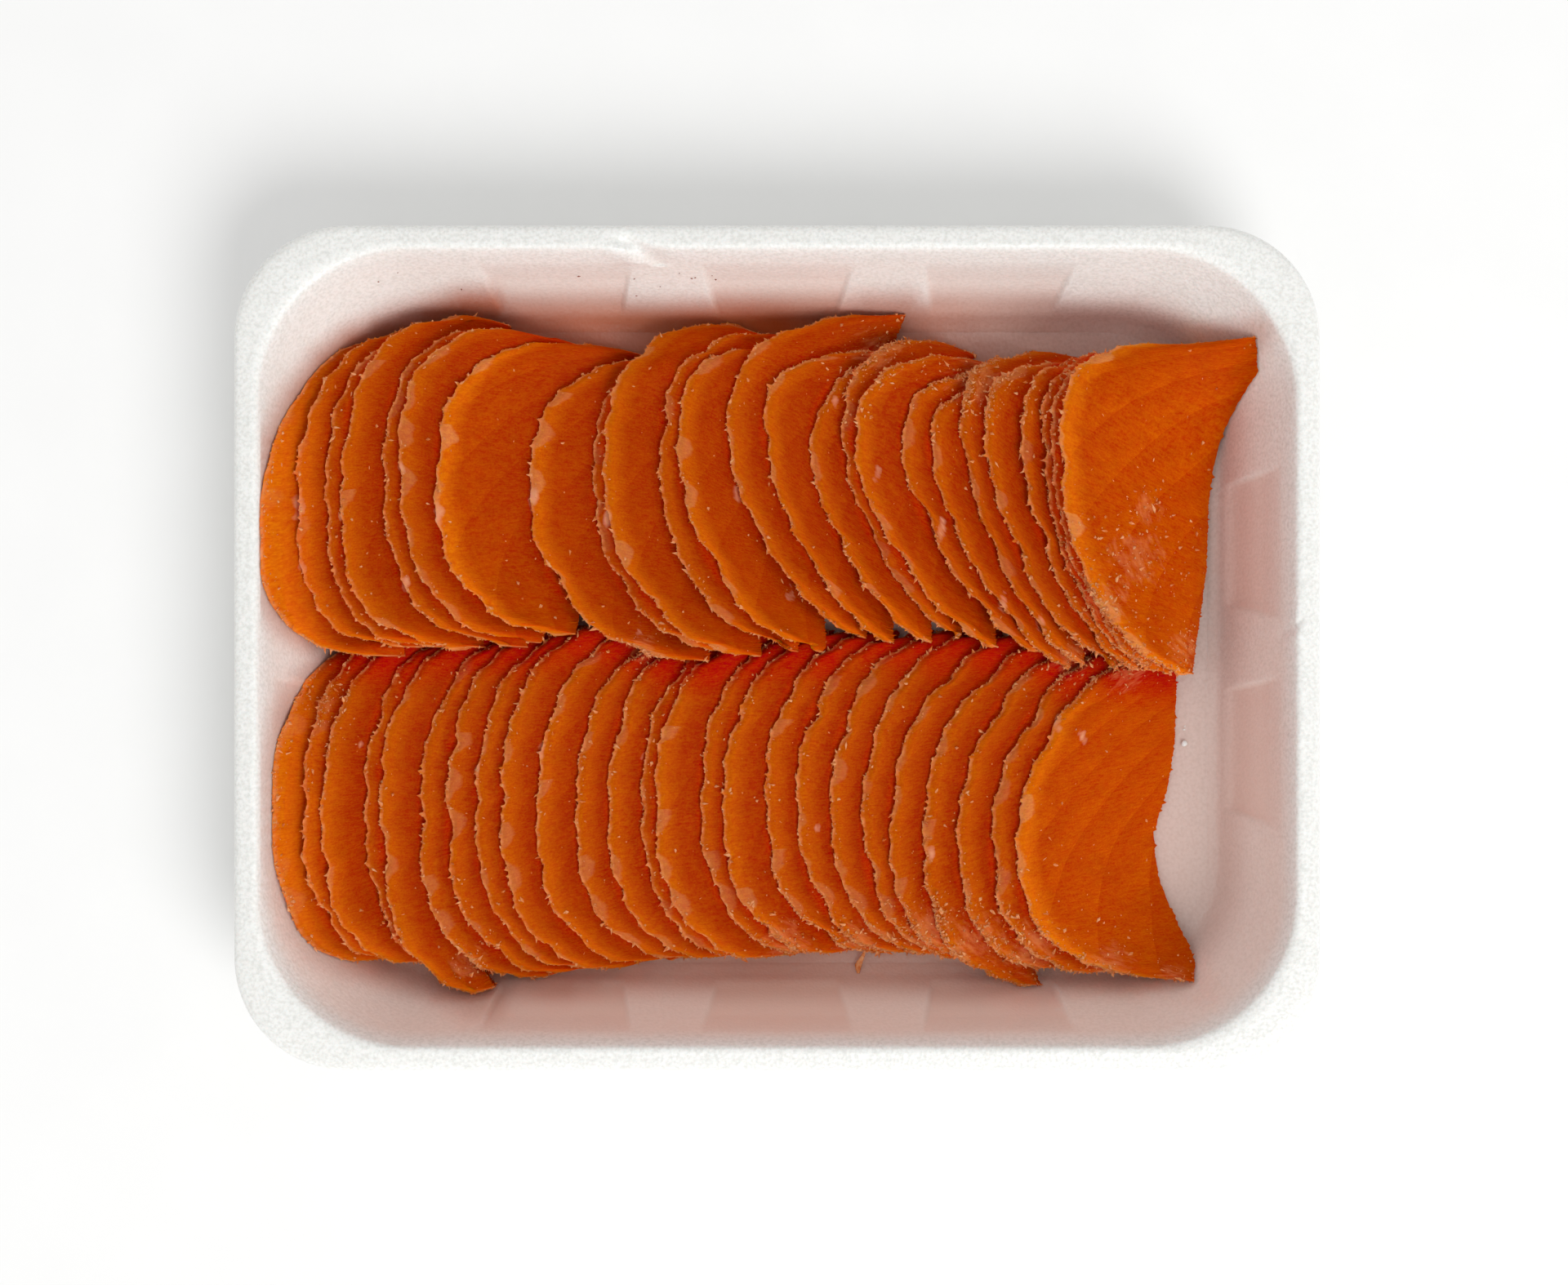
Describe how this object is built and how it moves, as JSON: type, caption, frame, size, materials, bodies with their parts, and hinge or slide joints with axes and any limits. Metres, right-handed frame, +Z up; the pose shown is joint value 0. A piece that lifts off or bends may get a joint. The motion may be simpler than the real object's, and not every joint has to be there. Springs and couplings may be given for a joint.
{
  "type": "sliced salmon",
  "caption": "Thin raw salmon slices laid in shingled rows in a shallow rectangular white foam tray with a rounded lip and recessed wall panels.",
  "frame": {"origin": "middle of the tray's base, on the surface that it stands on", "axes": "+X along the tray's long side, in the direction in which the slices are laid; +Y from the lower row of slices to the upper row; +Z up, out of the tray"},
  "size_m": [0.235, 0.183, 0.032],
  "materials": {
    "expanded_polystyrene": "white closed-cell foam with a soft satin skin",
    "salmon_flesh": "moist orange flesh with a fine grain and pale frosted rims"
  },
  "bodies": {
    "root": {"tray": "expanded_polystyrene", "lower_slice_01": "salmon_flesh", "lower_slice_02": "salmon_flesh", "lower_slice_03": "salmon_flesh", "lower_slice_04": "salmon_flesh", "lower_slice_05": "salmon_flesh", "lower_slice_06": "salmon_flesh", "lower_slice_07": "salmon_flesh", "lower_slice_08": "salmon_flesh", "lower_slice_09": "salmon_flesh", "lower_slice_10": "salmon_flesh", "lower_slice_11": "salmon_flesh", "lower_slice_12": "salmon_flesh", "lower_slice_13": "salmon_flesh", "lower_slice_14": "salmon_flesh", "lower_slice_15": "salmon_flesh", "lower_slice_16": "salmon_flesh", "lower_slice_17": "salmon_flesh", "lower_slice_18": "salmon_flesh", "lower_slice_19": "salmon_flesh", "lower_slice_20": "salmon_flesh", "lower_slice_21": "salmon_flesh", "lower_slice_22": "salmon_flesh", "lower_slice_23": "salmon_flesh", "lower_slice_24": "salmon_flesh", "lower_slice_25": "salmon_flesh", "upper_slice_01": "salmon_flesh", "upper_slice_02": "salmon_flesh", "upper_slice_03": "salmon_flesh", "upper_slice_04": "salmon_flesh", "upper_slice_05": "salmon_flesh", "upper_slice_06": "salmon_flesh", "upper_slice_07": "salmon_flesh", "upper_slice_08": "salmon_flesh", "upper_slice_09": "salmon_flesh", "upper_slice_10": "salmon_flesh", "upper_slice_11": "salmon_flesh", "upper_slice_12": "salmon_flesh", "upper_slice_13": "salmon_flesh", "upper_slice_14": "salmon_flesh", "upper_slice_15": "salmon_flesh", "upper_slice_16": "salmon_flesh", "upper_slice_17": "salmon_flesh", "upper_slice_18": "salmon_flesh", "upper_slice_19": "salmon_flesh", "upper_slice_20": "salmon_flesh", "upper_slice_21": "salmon_flesh", "upper_slice_22": "salmon_flesh", "upper_slice_23": "salmon_flesh", "upper_slice_24": "salmon_flesh", "upper_slice_25": "salmon_flesh"}
  },
  "joints": []
}
